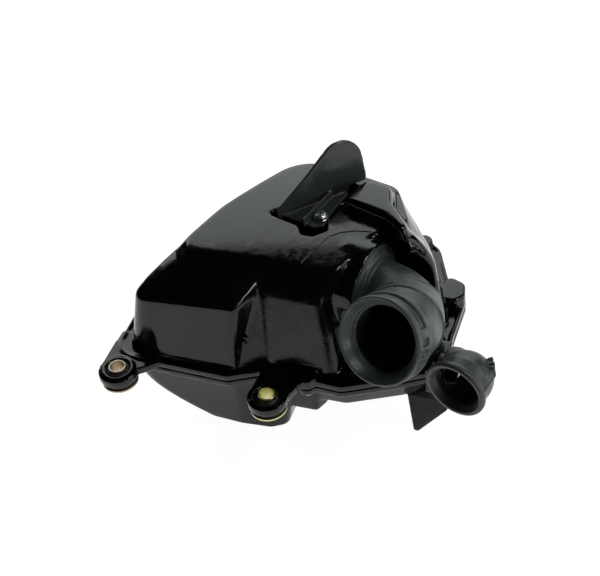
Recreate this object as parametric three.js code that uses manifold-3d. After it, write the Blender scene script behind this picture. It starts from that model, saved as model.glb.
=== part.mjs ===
// Air filter housing of a small scooter engine: an upper housing and a lower cover, a rubber
// carburettor boot, an intake snorkel, a splash guard fin, a lower deflector fin, the foam filter
// element on its grid, and two bushed mounting lugs.
//
// Millimetres, +X to the right, +Y to the back, +Z up. Everything is laid out from the centre of
// the right lug's hole on the flange's top face. The last lines move the whole assembly, so that
// its origin is at the middle of its underside.

import * as THREE from 'three';
import { mergeVertices } from 'three/addons/utils/BufferGeometryUtils.js';
import Module from 'manifold-3d';

const wasm = await Module();
wasm.setup();

// ---------------------------------------------------------------- driving dimensions

const WALL = 2.5;
const GAP = 0.3;
const ARC_STEPS = 3;
const WIDE_SIDES = 24;
const SMALL_SIDES = 16;
const SCREW_SIDES = 10;

const LUG_SPACING = 92;
const LUG_RADIUS = 11.5;
const LUG_THICK = 5;
const LUG_RIM = 1.2;
const LUG_HOLE_RADIUS = 7;
const LUG_RECESS_EDGE = 2.4;
const BUSH_DROP = 3;
const SLEEVE_RADIUS = 5;
const SLEEVE_BORE = 4.1;
const SLEEVE_TOP = 2.3;

const FLANGE_THICK = 4;
const SHOULDER_Z = 40;
const CREST_Z = 60;
const ROOF_EDGE = 0.8;
const DUCT_Z = 68.5;
const COVER_FLOOR_Z = -46;
const COVER_RIM = 4;
const RIM_TOP = -FLANGE_THICK - GAP;
const RIM_LOW = RIM_TOP - COVER_RIM;
const SEAT_DEPTH = 1.5;
const SEAT_EDGE = 1.6;

const PORT_CENTRE = new THREE.Vector3(46.5, 66, 33);
const PORT_AXIS = new THREE.Vector3(Math.cos(0.227), -Math.sin(0.227), 0);
const PORT_RADIUS = 21.5;
const MOUTH_CENTRE = new THREE.Vector3(64, 12, 45);
const MOUTH_AXIS = new THREE.Vector3(-0.24, -0.87, 0.43).normalize();
const MOUTH_RADIUS = 25;
const BOOT_RADIUS = 22.5;
const BOOT_BORE = 19.5;
const BOOT_ROOM = 3;
const PORT_FACE = -6;
const RECESS_RADIUS = 27.5;

const SNORKEL_MOUTH = new THREE.Vector3(103, 16, 13);
const SNORKEL_AXIS = new THREE.Vector3(-0.29, -0.957, 0).normalize();
const SNORKEL_BEND = new THREE.Vector3(106.5, 27.5, 12);
const SNORKEL_PORT = new THREE.Vector3(93, 38, 6);
const SNORKEL_RADIUS = 15.5;
const SNORKEL_BORE = 13;
const SNORKEL_NECK = 8.5;
const SNORKEL_WALL_X = 93;
const SNORKEL_WALL_Y = 27;
const SNORKEL_WALL_TOP = 13.5;

const GUARD_START = new THREE.Vector2(-18, 85);
const GUARD_LENGTH = 58;
const GUARD_HEIGHT = 30;
const GUARD_SCREW = new THREE.Vector2(8, 88);
const POCKET_FLOOR_Z = 47;
const GUARD_FOOT_Z = 56;
const GUARD_BASE_Z = CREST_Z + 1;
const FIN_THICK = 2;
const WASHER_THICK = 0.8;

const FOAM_BOTTOM = -3.2;
const FOAM_TOP = 12;

// Plan corners, counter-clockwise from the front left: [x, y, corner radius].
const FLANGE = [
  [-100, 11, 14], [-28, 8.5, 8], [-8, 18.5, 8], [38, 15.5, 12], [70, 31, 20], [89, 42, 10],
  [88, 98, 8], [74, 114, 8], [60, 144, 14], [-54, 155, 36], [-101, 44, 18],
];
const TOWER_BASE = [
  [-97, 15, 12], [-26, 14, 6], [-8, 23.5, 6], [33, 22.5, 8], [45, 66, 4],
  [84, 75, 6], [71, 109, 10], [52, 143, 12], [-52, 151, 35],
];
const TOWER_SHOULDER = [
  [-87, 18, 8], [-23, 22, 5], [-13, 38.5, 5], [25, 36.5, 7], [38, 78, 4],
  [80, 77, 6], [68, 98, 10], [44, 126, 12], [-42, 143, 32],
];
const TOWER_TOP = [
  [-66, 48, 10], [-25, 48.5, 4], [-13, 48.5, 4], [31, 47, 8], [41, 79, 4],
  [75, 78, 4], [61, 87, 6], [43, 121, 10], [-24, 133, 30],
];
const EAR = [[72, 91, 4], [84, 90, 5], [88.5, 96, 5], [86, 107, 5], [74, 112, 4]];
const TRAY = [[34, 22, 4], [68, 38, 10], [84, 47, 6], [84, 70, 4], [40, 70, 4]];
const DUCT_FOOT = [
  [18, 93, 3], [44, 85, 4], [54, 79, 3], [66, 73, 3],
  [66, 84, 3], [50, 104, 6], [44, 123, 5], [26, 124, 8],
];
const DUCT_ROOF = [
  [20, 96, 3], [45.5, 88, 4], [55, 81.5, 3], [61, 76, 2],
  [60, 84, 3], [47, 100, 6], [42, 114, 4], [27, 118, 6],
];
const DUCT_HOLLOW = [[24, 99, 3], [45, 92, 3], [53, 87, 2], [43, 102, 4], [39, 113, 3], [30, 114, 4]];
const POCKET = [
  [-23, 84, 2], [-2, 78, 4], [2, 71, 3], [9, 70.5, 4], [15.5, 77, 3],
  [13, 86, 3], [16, 97, 3], [21.5, 119, 2], [16, 121, 2],
];
const BOWL_RIM = [[-94, 14, 12], [-26, 12.5, 8], [-8, 19, 6], [6, 20, 6], [6, 148, 6], [-50, 148, 34]];
const BOWL_WAIST = [[-90, 15, 12], [-26, 13.5, 8], [-8, 18, 6], [4, 19, 6], [4, 142, 8], [-46, 142, 32]];
const BOWL_FLOOR = [[-54, 18, 10], [-26, 16, 8], [-8, 17, 6], [1, 21, 6], [1, 118, 10], [-36, 118, 20]];
const SIDE_RIM = [
  [0, 23, 2], [38, 23, 10], [68, 36, 16], [84, 45, 8],
  [80, 88, 8], [66, 108, 8], [46, 138, 12], [0, 145, 2],
];
const SIDE_FLOOR = [
  [0, 26, 2], [36, 26, 10], [66, 40, 16], [80, 48, 8],
  [76, 86, 8], [62, 105, 8], [44, 132, 12], [0, 139, 2],
];
const GUARD_FOOT = [
  [-15, 86, 1], [0, 82, 2], [5, 80, 3], [12, 82, 3], [12, 92, 3], [16.5, 114, 1], [12, 113.5, 1],
];
const SUMP = [[0, 22.8, 3], [19, 22.8, 3], [22.5, 31, 3], [22.5, 52, 3], [0, 52, 3]];
const FOAM = [
  [-84, 25, 8], [-30, 24, 4], [-8, 33, 4], [24, 33, 6], [34, 68, 4], [34, 134, 6], [-42, 134, 26],
];

// Screws that hold the cover, each at a boss on the flange.
const COVER_SCREWS = [[-93, 62], [-71, 108], [-38, 150], [12, 150], [50, 143], [79, 101], [17, 18.5]];
const DEFLECTOR_LEAN = -0.45;
const DEFLECTOR_SCREWS = [[71, 50.5], [82, 50.5]];
const SCREW_BOSS = 6;
const BOSS_TOP = 2.5;
const EAR_TOP = 7;
const BOWL_WAIST_Z = -25;
const SIDE_FLOOR_Z = -26;
const SUMP_FLOOR_Z = -32.5;
const SCREW_SHANK = 1.9;

// ---------------------------------------------------------------- geometry helpers

// Signed volume of a triangle list, which tells whether its faces point out.
function signedVolume(points, index) {
  const [a, b, c] = [new THREE.Vector3(), new THREE.Vector3(), new THREE.Vector3()];
  let volume = 0;
  for (let i = 0; i < index.length; i += 3) {
    a.fromArray(points, index[i] * 3);
    b.fromArray(points, index[i + 1] * 3);
    c.fromArray(points, index[i + 2] * 3);
    volume += a.dot(b.cross(c)) / 6;
  }
  return volume;
}

// A closed three.js geometry as a solid that can be joined and cut.
function solid(geometry) {
  const bare = geometry.clone();
  bare.deleteAttribute('normal');
  bare.deleteAttribute('uv');
  const merged = mergeVertices(bare, 1e-4);
  const vertProperties = new Float32Array(merged.attributes.position.array);
  const triVerts = new Uint32Array(merged.index.array);
  if (signedVolume(vertProperties, triVerts) < 0) triVerts.reverse();
  return new wasm.Manifold(new wasm.Mesh({ numProp: 3, vertProperties, triVerts }));
}

function union(...solids) {
  return solids.reduce((sum, next) => sum.add(next));
}

// Outline with each corner rounded by an arc of its own radius.
function roundedOutline(corners) {
  const points = [];
  corners.forEach(([x, y, radius], i) => {
    const here = new THREE.Vector2(x, y);
    const before = corners[(i + corners.length - 1) % corners.length];
    const after = corners[(i + 1) % corners.length];
    const back = new THREE.Vector2(before[0] - x, before[1] - y).normalize();
    const ahead = new THREE.Vector2(after[0] - x, after[1] - y).normalize();
    const half = Math.acos(THREE.MathUtils.clamp(back.dot(ahead), -1, 1)) / 2;
    const middle = back.clone().add(ahead).normalize();
    const centre = here.clone().addScaledVector(middle, radius / Math.sin(half));
    const from = here.clone().addScaledVector(back, radius / Math.tan(half)).sub(centre);
    const sweep = Math.PI - 2 * half;
    const turn = Math.sign(ahead.cross(back)) * sweep;
    for (let step = 0; step <= ARC_STEPS; step += 1) {
      const angle = (turn * step) / ARC_STEPS;
      points.push(from.clone().rotateAround(new THREE.Vector2(), angle).add(centre));
    }
  });
  return points;
}

// Corners moved inwards by a distance, measured square to each side.
function inset(corners, distance) {
  return corners.map(([x, y, radius], i) => {
    const before = corners[(i + corners.length - 1) % corners.length];
    const after = corners[(i + 1) % corners.length];
    const come = new THREE.Vector2(x - before[0], y - before[1]).normalize();
    const go = new THREE.Vector2(after[0] - x, after[1] - y).normalize();
    const left = new THREE.Vector2(-come.y, come.x);
    const leftGo = new THREE.Vector2(-go.y, go.x);
    const middle = left.clone().add(leftGo);
    const scale = (2 * distance) / middle.lengthSq();
    const convex = come.cross(go) > 0;
    const inner = Math.max(convex ? radius - distance : radius + distance, 1);
    return [x + middle.x * scale, y + middle.y * scale, inner];
  });
}

// Corners part of the way between two levels of the same shape.
function between(low, high, share) {
  return low.map((corner, i) => corner.map((value, k) => value + (high[i][k] - value) * share));
}

// Solid through outlines stacked in height: levels are [z, corners], from the bottom up.
function loft(...levels) {
  const rings = levels.map(([z, corners]) => (
    roundedOutline(corners).map((point) => new THREE.Vector3(point.x, point.y, z))
  ));
  const count = rings[0].length;
  const index = [];
  for (let level = 0; level < rings.length - 1; level += 1) {
    for (let i = 0; i < count; i += 1) {
      const a = level * count + i;
      const b = level * count + ((i + 1) % count);
      index.push(a, b, b + count, a, b + count, a + count);
    }
  }
  const top = (rings.length - 1) * count;
  const flat = (ring) => ring.map((point) => new THREE.Vector2(point.x, point.y));
  THREE.ShapeUtils.triangulateShape(flat(rings[0]), []).forEach(([a, b, c]) => index.push(a, c, b));
  THREE.ShapeUtils.triangulateShape(flat(rings[rings.length - 1]), [])
    .forEach(([a, b, c]) => index.push(top + a, top + b, top + c));
  const geometry = new THREE.BufferGeometry().setFromPoints(rings.flat());
  geometry.setIndex(index);
  return solid(geometry);
}

function plate(corners, low, high) {
  return loft([low, corners], [high, corners]);
}

// Turns a geometry made along +Z to lie along an axis from an origin.
function aim(geometry, origin, axis) {
  const turn = new THREE.Quaternion().setFromUnitVectors(new THREE.Vector3(0, 0, 1), axis);
  return geometry.applyQuaternion(turn).translate(origin.x, origin.y, origin.z);
}

// Solid of revolution: profile points are [radius, distance along the axis].
function turned(profile, origin, axis, sides = WIDE_SIDES) {
  const points = profile.map(([radius, along]) => new THREE.Vector2(radius, along));
  return solid(aim(new THREE.LatheGeometry(points, sides).rotateX(Math.PI / 2), origin, axis));
}

const UP = new THREE.Vector3(0, 0, 1);

function rod(radius, origin, axis, from, to, sides = WIDE_SIDES) {
  return turned([[0, from], [radius, from], [radius, to], [0, to]], origin, axis, sides);
}

function post(radius, x, y, low, high, sides = SMALL_SIDES) {
  return rod(radius, new THREE.Vector3(x, y, 0), UP, low, high, sides);
}

// Round posts at all of the cover's screws.
function screwPosts(radius, low, high, sides) {
  return union(...COVER_SCREWS.map(([x, y]) => post(radius, x, y, low, high, sides)));
}

function ball(radius, centre) {
  return solid(new THREE.SphereGeometry(radius, 20, 12).translate(centre.x, centre.y, centre.z));
}

// Round tube along a curve.
function tube(curve, radius, steps, sides) {
  const section = new THREE.Shape().absarc(0, 0, radius, 0, Math.PI * 2);
  const settings = { steps, curveSegments: sides / 2, extrudePath: curve };
  return solid(new THREE.ExtrudeGeometry(section, settings));
}

function box(x0, x1, y0, y1, z0, z1) {
  const geometry = new THREE.BoxGeometry(x1 - x0, y1 - y0, z1 - z0);
  return solid(geometry.translate((x0 + x1) / 2, (y0 + y1) / 2, (z0 + z1) / 2));
}

const MATERIALS = {
  plastic: new THREE.MeshStandardMaterial({ color: 0x17181a, roughness: 0.28, metalness: 0 }),
  rubber: new THREE.MeshStandardMaterial({ color: 0x2b302f, roughness: 0.75, metalness: 0 }),
  steel: new THREE.MeshStandardMaterial({ color: 0xb9b8b2, roughness: 0.35, metalness: 1 }),
  zinc: new THREE.MeshStandardMaterial({ color: 0xb7ab5c, roughness: 0.4, metalness: 1 }),
  foam: new THREE.MeshStandardMaterial({ color: 0xb0452e, roughness: 1, metalness: 0 }),
};

function piece(name, body, material) {
  const { vertProperties, triVerts } = body.getMesh();
  const geometry = new THREE.BufferGeometry();
  geometry.setAttribute('position', new THREE.BufferAttribute(vertProperties, 3));
  geometry.setIndex(new THREE.BufferAttribute(triVerts, 1));
  geometry.computeVertexNormals();
  const mesh = new THREE.Mesh(geometry, MATERIALS[material].clone());
  mesh.name = name;
  return mesh;
}

// ---------------------------------------------------------------- housing

// The tower with its walls moved in, and its roof lowered, by a wall thickness.
function tower(thickness) {
  const low = thickness > 0 ? -FLANGE_THICK - 1 : 0;
  const levels = [
    [low, inset(TOWER_BASE, thickness)],
    [SHOULDER_Z - thickness * 0.5, inset(TOWER_SHOULDER, thickness)],
    [CREST_Z - 4 - thickness, inset(between(TOWER_SHOULDER, TOWER_TOP, ROOF_EDGE), thickness)],
    [CREST_Z - thickness, inset(TOWER_TOP, thickness + 0.5)],
  ];
  return loft(...levels);
}

function pocket(thickness) {
  return plate(inset(POCKET, -thickness), POCKET_FLOOR_Z - thickness, CREST_Z + 8);
}

// A mounting lug at x on the line of the lugs, with an arm that runs back to the flange.
function lug(x, roots) {
  const side = LUG_RADIUS - 0.4;
  const arm = [[x - side, 2, 2], [x + side, 2, 2], ...roots];
  const body = union(post(LUG_RADIUS, x, 0, -LUG_THICK, LUG_RIM, WIDE_SIDES), plate(arm, -LUG_THICK, 0));
  return body
    .subtract(post(LUG_RADIUS - LUG_RECESS_EDGE, x, 0, 0, 3, WIDE_SIDES))
    .subtract(plate(inset(FLANGE, -GAP), -LUG_THICK - 1, -FLANGE_THICK))
    .subtract(screwPosts(SCREW_BOSS + GAP, -LUG_THICK - 1, -FLANGE_THICK, SMALL_SIDES));
}

// Centreline of the boot, from its port in the housing to its mouth.
function bootCurve() {
  const start = PORT_CENTRE.clone().addScaledVector(PORT_AXIS, -1);
  const leave = PORT_CENTRE.clone().addScaledVector(PORT_AXIS, 26);
  const arrive = MOUTH_CENTRE.clone().addScaledVector(MOUTH_AXIS, -30);
  const end = MOUTH_CENTRE.clone().addScaledVector(MOUTH_AXIS, -8);
  return new THREE.CubicBezierCurve3(start, leave, arrive, end);
}

// Space that the boot needs beside the tower, with a margin all round.
function bootSpace(margin) {
  return union(
    rod(RECESS_RADIUS + margin, PORT_CENTRE, PORT_AXIS, PORT_FACE - (margin - BOOT_ROOM), 13),
    tube(bootCurve(), BOOT_RADIUS + margin, 7, 20),
  );
}

function makeHousing() {
  const shell = union(
    tower(0),
    plate(FLANGE, -FLANGE_THICK, 0),
    loft([-1, TRAY], [2.5, inset(TRAY, 1)]),
    loft([CREST_Z - 6, DUCT_FOOT], [DUCT_Z - 1.5, DUCT_ROOF], [DUCT_Z, inset(DUCT_ROOF, 1.5)]),
    loft([-FLANGE_THICK, EAR], [EAR_TOP - 1, EAR], [EAR_TOP, inset(EAR, 1)]),
    box(SNORKEL_WALL_X - 9, SNORKEL_WALL_X, SNORKEL_WALL_Y, 52, -FLANGE_THICK, SNORKEL_WALL_TOP),
    rod(RECESS_RADIUS, PORT_CENTRE, PORT_AXIS, PORT_FACE - 12, PORT_FACE),
    lug(0, [[17, 20, 2], [-10, 20, 2]]),
    lug(-LUG_SPACING, [[-66, 14, 2], [-80, 28, 2], [-102.6, 30, 2]]),
    screwPosts(SCREW_BOSS, -FLANGE_THICK, BOSS_TOP, SMALL_SIDES),
  );
  const chamber = union(
    tower(WALL).subtract(bootSpace(BOOT_ROOM + WALL)).subtract(pocket(WALL)),
    plate(DUCT_HOLLOW, CREST_Z - 8, DUCT_Z - WALL).subtract(bootSpace(BOOT_ROOM + WALL)),
    rod(PORT_RADIUS + 2, PORT_CENTRE, PORT_AXIS, -22, PORT_FACE - WALL),
    loft([-FLANGE_THICK - 1, inset(TRAY, 4)], [0, inset(TRAY, 5)]),
    box(80, SNORKEL_WALL_X - WALL, 32, 48, -FLANGE_THICK - 1, SNORKEL_WALL_TOP - WALL),
  );
  return shell
    .subtract(bootSpace(BOOT_ROOM))
    .subtract(pocket(0))
    .add(post(5.5, GUARD_SCREW.x, GUARD_SCREW.y, POCKET_FLOOR_Z - 1, GUARD_FOOT_Z - GAP))
    .subtract(post(1.6, GUARD_SCREW.x, GUARD_SCREW.y, POCKET_FLOOR_Z + 1, CREST_Z))
    .subtract(chamber)
    .subtract(rod(PORT_RADIUS, PORT_CENTRE, PORT_AXIS, -30, 0))
    .subtract(rod(SNORKEL_NECK + GAP, SNORKEL_PORT, new THREE.Vector3(1, 0, 0), -6, 5))
    .subtract(union(...[0, -LUG_SPACING].map((x) => post(LUG_HOLE_RADIUS, x, 0, -9, 9, WIDE_SIDES))))
    .subtract(screwPosts(SCREW_SHANK + GAP, -9, BOSS_TOP - 0.6, SCREW_SIDES));
}

// ---------------------------------------------------------------- cover, gasket and their screws

function makeCover() {
  const sideFloor = SIDE_FLOOR_Z + WALL;
  const outside = union(
    plate(FLANGE, RIM_LOW, RIM_TOP),
    loft(
      [COVER_FLOOR_Z, inset(BOWL_FLOOR, 3)],
      [COVER_FLOOR_Z + 3, BOWL_FLOOR],
      [BOWL_WAIST_Z, BOWL_WAIST],
      [RIM_LOW + 0.5, BOWL_RIM],
    ),
    loft([SIDE_FLOOR_Z, inset(SIDE_FLOOR, 2)], [SIDE_FLOOR_Z + 2, SIDE_FLOOR], [RIM_LOW + 0.5, SIDE_RIM]),
    plate(EAR, RIM_LOW, RIM_TOP),
    screwPosts(SCREW_BOSS, RIM_LOW, RIM_TOP, SMALL_SIDES),
    loft([SUMP_FLOOR_Z, inset(SUMP, 1.5)], [SUMP_FLOOR_Z + 1.5, SUMP], [RIM_LOW, SUMP]),
  );
  const inside = union(
    loft(
      [COVER_FLOOR_Z + WALL, inset(BOWL_FLOOR, 4)],
      [COVER_FLOOR_Z + 3 + WALL, inset(BOWL_FLOOR, WALL)],
      [BOWL_WAIST_Z + 1, inset(BOWL_WAIST, WALL + 0.5)],
      [RIM_TOP + 1, inset(BOWL_RIM, WALL + 1)],
    ),
    loft([sideFloor, inset(SIDE_FLOOR, WALL + 2)], [RIM_TOP + 1, inset(SIDE_RIM, WALL + 1)]),
    plate(inset(SUMP, WALL), SUMP_FLOOR_Z + WALL, sideFloor + 1),
  );
  return outside
    .subtract(inside)
    .subtract(plate(inset(FLANGE, SEAT_EDGE), RIM_TOP - SEAT_DEPTH, RIM_TOP + 1))
    .subtract(screwPosts(SCREW_SHANK + GAP, RIM_LOW - 3, 0, SCREW_SIDES));
}

function makeGasket() {
  const low = RIM_TOP - SEAT_DEPTH + GAP;
  const area = plate(inset(FLANGE, SEAT_EDGE + GAP), low, RIM_TOP);
  const eyes = screwPosts(SCREW_SHANK + 3, low, RIM_TOP, SMALL_SIDES).intersect(area);
  return area
    .subtract(plate(inset(FLANGE, SEAT_EDGE + 3), low - 1, RIM_TOP + 1))
    .add(eyes)
    .subtract(screwPosts(SCREW_SHANK + GAP, -9, 9, SCREW_SIDES));
}

function coverScrew([x, y]) {
  const origin = new THREE.Vector3(x, y, RIM_LOW);
  const profile = [
    [0, -3], [2.6, -3], [3.7, -2.2], [3.7, -GAP], [SCREW_SHANK, -GAP], [SCREW_SHANK, 8.6], [0, 9.6],
  ];
  const head = turned(profile, origin, UP, SCREW_SIDES);
  const slot = new THREE.BoxGeometry(1.2, 4.4, 2);
  const cross = [0, Math.PI / 2].map((angle) => slot.clone().rotateZ(angle));
  return cross.reduce((body, cut) => body.subtract(solid(cut.translate(x, y, RIM_LOW - 3))), head);
}

function makeDeflector() {
  const top = SIDE_FLOOR_Z - GAP;
  const drop = (COVER_FLOOR_Z - top) / Math.cos(DEFLECTOR_LEAN);
  const outline = new THREE.Shape();
  outline.moveTo(-4, 0);
  outline.lineTo(1, drop + 2.2);
  outline.absarc(3.2, drop + 2.2, 2.2, Math.PI, Math.PI * 1.75, false);
  outline.lineTo(20, -6);
  outline.lineTo(20, 0);
  outline.closePath();
  const settings = { depth: FIN_THICK, bevelEnabled: false, curveSegments: 6 };
  const fin = new THREE.ExtrudeGeometry(outline, settings).rotateX(Math.PI / 2);
  fin.rotateX(DEFLECTOR_LEAN).translate(71, 45, top - 0.7);
  const foot = new THREE.BoxGeometry(20, 11, FIN_THICK).translate(77, 49, top - FIN_THICK / 2);
  return solid(fin)
    .add(solid(foot))
    .subtract(box(40, 120, 0, 80, -70, COVER_FLOOR_Z))
    .subtract(union(...DEFLECTOR_SCREWS.map(([x, y]) => post(SCREW_SHANK, x, y, -60, 0, SCREW_SIDES))));
}

function deflectorScrew([x, y]) {
  const profile = [[0, -3], [2.6, -3], [3.4, -2.2], [3.4, -GAP], [1.5, -GAP], [1.5, 1.6], [0, 1.6]];
  return turned(profile, new THREE.Vector3(x, y, SIDE_FLOOR_Z - GAP - FIN_THICK), UP, SCREW_SIDES);
}

// ---------------------------------------------------------------- filter

function makeFoam() {
  return loft([FOAM_BOTTOM, FOAM], [FOAM_TOP, inset(FOAM, 4)]);
}

function makeGrid() {
  const top = FOAM_BOTTOM - GAP;
  const low = top - 2;
  const frame = inset(FOAM, -0.5);
  const ring = plate(frame, low, top).subtract(plate(inset(frame, 5), low - 1, top + 1));
  const bars = [];
  for (let x = -70; x <= 20; x += 22) bars.push(box(x - 1, x + 1, 22, 140, low, top));
  for (let y = 44; y <= 130; y += 22) bars.push(box(-90, 40, y - 1, y + 1, low, top));
  return ring.add(union(...bars).intersect(plate(inset(frame, 1), low, top)));
}

// ---------------------------------------------------------------- boot and snorkel

function makeBoot() {
  const mouth = [
    [0, -16], [BOOT_RADIUS + 0.5, -16], [BOOT_RADIUS + 1.6, -14.5], [MOUTH_RADIUS, -13],
    [MOUTH_RADIUS, -10.5], [MOUTH_RADIUS - 1.6, -9.8], [MOUTH_RADIUS - 1.6, -3.6],
    [MOUTH_RADIUS, -3], [MOUTH_RADIUS, -0.8], [MOUTH_RADIUS - 0.8, 0], [0, 0],
  ];
  const collar = [
    [0, -12], [PORT_RADIUS + 1.5, -12], [PORT_RADIUS + 1.5, -8.5 - GAP], [PORT_RADIUS - GAP, -8.5 - GAP],
    [PORT_RADIUS - GAP, -6 + GAP], [26.5, -6 + GAP], [26.5, -3], [24.5, -2.4], [24.5, 1], [26, 1.6],
    [26, 3.5], [23, 5], [0, 5],
  ];
  const axisBore = (origin, axis, from, to) => rod(BOOT_BORE, origin, axis, from, to, SMALL_SIDES);
  const curve = bootCurve();
  const rings = [0.36, 0.6].map((share) => {
    const at = curve.getPointAt(share);
    const foot = BOOT_RADIUS + 0.3;
    const rib = [[0, -1.4], [foot, -1.4], [foot + 0.8, 0], [foot, 1.4], [0, 1.4]];
    return turned(rib, at, curve.getTangentAt(share));
  });
  return union(
    tube(curve, BOOT_RADIUS, 7, WIDE_SIDES),
    turned(mouth, MOUTH_CENTRE, MOUTH_AXIS),
    turned(collar, PORT_CENTRE, PORT_AXIS),
    ...rings,
  )
    .subtract(tube(curve, BOOT_BORE, 7, SMALL_SIDES))
    .subtract(axisBore(MOUTH_CENTRE, MOUTH_AXIS, -9.5, 3))
    .subtract(rod(21, MOUTH_CENTRE, MOUTH_AXIS, -6, 3))
    .subtract(axisBore(PORT_CENTRE, PORT_AXIS, -14, 0));
}

function makeBootRing() {
  const profile = [
    [BOOT_BORE - 1.6, -11], [BOOT_BORE - GAP, -11], [BOOT_BORE - GAP, -2], [BOOT_BORE - 1.6, -2],
    [BOOT_BORE - 1.6, -11],
  ];
  return turned(profile, PORT_CENTRE, PORT_AXIS, SMALL_SIDES);
}

function makeSnorkel() {
  const outX = new THREE.Vector3(1, 0, 0);
  const lip = [[0, -5], [16, -5], [18, -3.6], [18, -1], [17.2, 0], [0, 0]];
  const toBend = SNORKEL_MOUTH.distanceTo(SNORKEL_BEND);
  const portRun = SNORKEL_BEND.clone().sub(SNORKEL_PORT).normalize();
  const outer = union(
    turned(lip, SNORKEL_MOUTH, SNORKEL_AXIS),
    rod(SNORKEL_RADIUS, SNORKEL_MOUTH, SNORKEL_AXIS, -toBend, -2, 24),
    ball(SNORKEL_RADIUS, SNORKEL_BEND),
    rod(14, SNORKEL_PORT, portRun, 4, SNORKEL_BEND.distanceTo(SNORKEL_PORT), 24),
  )
    .subtract(box(40, SNORKEL_WALL_X + GAP, SNORKEL_WALL_Y - GAP, 70, -40, 60))
    .subtract(rod(30, SNORKEL_MOUTH, SNORKEL_AXIS, 0, 12));
  const neck = rod(SNORKEL_NECK, SNORKEL_PORT, outX, -4.5, 6, SMALL_SIDES);
  const inner = union(
    rod(SNORKEL_BORE, SNORKEL_MOUTH, SNORKEL_AXIS, -toBend, 3, 24),
    ball(SNORKEL_BORE, SNORKEL_BEND),
    rod(SNORKEL_NECK - 2, SNORKEL_PORT, outX, -8, 5, SMALL_SIDES),
    rod(SNORKEL_NECK - 2, SNORKEL_PORT, portRun, 0, 12, SMALL_SIDES),
  );
  return outer.add(neck).subtract(inner);
}

// ---------------------------------------------------------------- splash guard

function makeGuard() {
  const lower = GUARD_FOOT_Z - GUARD_BASE_Z;
  const top = GUARD_LENGTH - 14.5;
  const outline = new THREE.Shape();
  outline.moveTo(0, lower);
  outline.lineTo(46, lower);
  outline.lineTo(46, -0.6);
  outline.lineTo(GUARD_LENGTH - 1, -0.6);
  outline.lineTo(GUARD_LENGTH, 2);
  outline.absarc(top, GUARD_HEIGHT - 13.5, 13.5, 0, Math.PI * 0.72, false);
  outline.lineTo(0, 1);
  outline.closePath();
  const settings = { depth: FIN_THICK, bevelEnabled: false, curveSegments: 14 };
  const fin = new THREE.ExtrudeGeometry(outline, settings).rotateX(Math.PI / 2).rotateZ(Math.PI / 4);
  fin.translate(GUARD_START.x, GUARD_START.y, GUARD_BASE_Z);
  const foot = plate(GUARD_FOOT, GUARD_FOOT_Z, GUARD_FOOT_Z + FIN_THICK);
  const ribHeight = GUARD_BASE_Z + 1 - GUARD_FOOT_Z;
  const rib = new THREE.BoxGeometry(34, 1.4, ribHeight).rotateZ(1.3);
  rib.translate(4.6, 96.8, GUARD_FOOT_Z + ribHeight / 2);
  return solid(fin)
    .add(foot)
    .add(solid(rib))
    .subtract(post(2.2, GUARD_SCREW.x, GUARD_SCREW.y, 50, 70));
}

function makeGuardWasher() {
  const low = GUARD_FOOT_Z + FIN_THICK + GAP;
  const centre = new THREE.Vector3(GUARD_SCREW.x, GUARD_SCREW.y, low);
  const profile = [[2.2, 0], [4.2, 0], [4.2, WASHER_THICK], [2.2, WASHER_THICK], [2.2, 0]];
  return turned(profile, centre, UP, SMALL_SIDES);
}

function makeGuardScrew() {
  const seat = GUARD_FOOT_Z + FIN_THICK + GAP + WASHER_THICK;
  const centre = new THREE.Vector3(GUARD_SCREW.x, GUARD_SCREW.y, seat);
  const profile = [
    [0, -9.6], [1.3, -8], [1.3, GAP], [3.8, GAP], [3.8, 1.4], [2.9, 2.4], [1.4, 2.8], [0, 2.8],
  ];
  const head = turned(profile, centre, UP, SMALL_SIDES);
  const slot = new THREE.BoxGeometry(1, 4.4, 2.4);
  const cross = [0.3, 0.3 + Math.PI / 2].map((angle) => slot.clone().rotateZ(angle));
  return cross.reduce((body, cut) => (
    body.subtract(solid(cut.translate(centre.x, centre.y, seat + 2.6)))
  ), head);
}

// ---------------------------------------------------------------- lug bushes

function makeGrommet(x) {
  const bore = SLEEVE_RADIUS + GAP;
  const neck = LUG_HOLE_RADIUS - GAP;
  const low = -LUG_THICK - BUSH_DROP;
  const profile = [
    [bore, low], [9.4, low], [9.4, -LUG_THICK - GAP], [neck, -LUG_THICK - GAP],
    [neck, GAP], [8.6, GAP], [8.6, 1.3], [bore, 1.6], [bore, low],
  ];
  return turned(profile, new THREE.Vector3(x, 0, 0), UP, SMALL_SIDES);
}

function makeSleeve(x) {
  const low = -LUG_THICK - BUSH_DROP - 2;
  const profile = [
    [SLEEVE_BORE, low], [SLEEVE_RADIUS, low], [SLEEVE_RADIUS, SLEEVE_TOP - 0.3],
    [SLEEVE_RADIUS - 0.3, SLEEVE_TOP], [SLEEVE_BORE, SLEEVE_TOP], [SLEEVE_BORE, low],
  ];
  return turned(profile, new THREE.Vector3(x, 0, 0), UP, SMALL_SIDES);
}

function makeBushWasher(x) {
  const bore = SLEEVE_RADIUS + GAP;
  const top = -LUG_THICK - BUSH_DROP - GAP;
  const profile = [
    [bore, top - 1.4], [10.2, top - 1.4], [10.5, top - 1], [10.5, top], [bore, top], [bore, top - 1.4],
  ];
  return turned(profile, new THREE.Vector3(x, 0, 0), UP, SMALL_SIDES);
}

// ---------------------------------------------------------------- assembly

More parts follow.
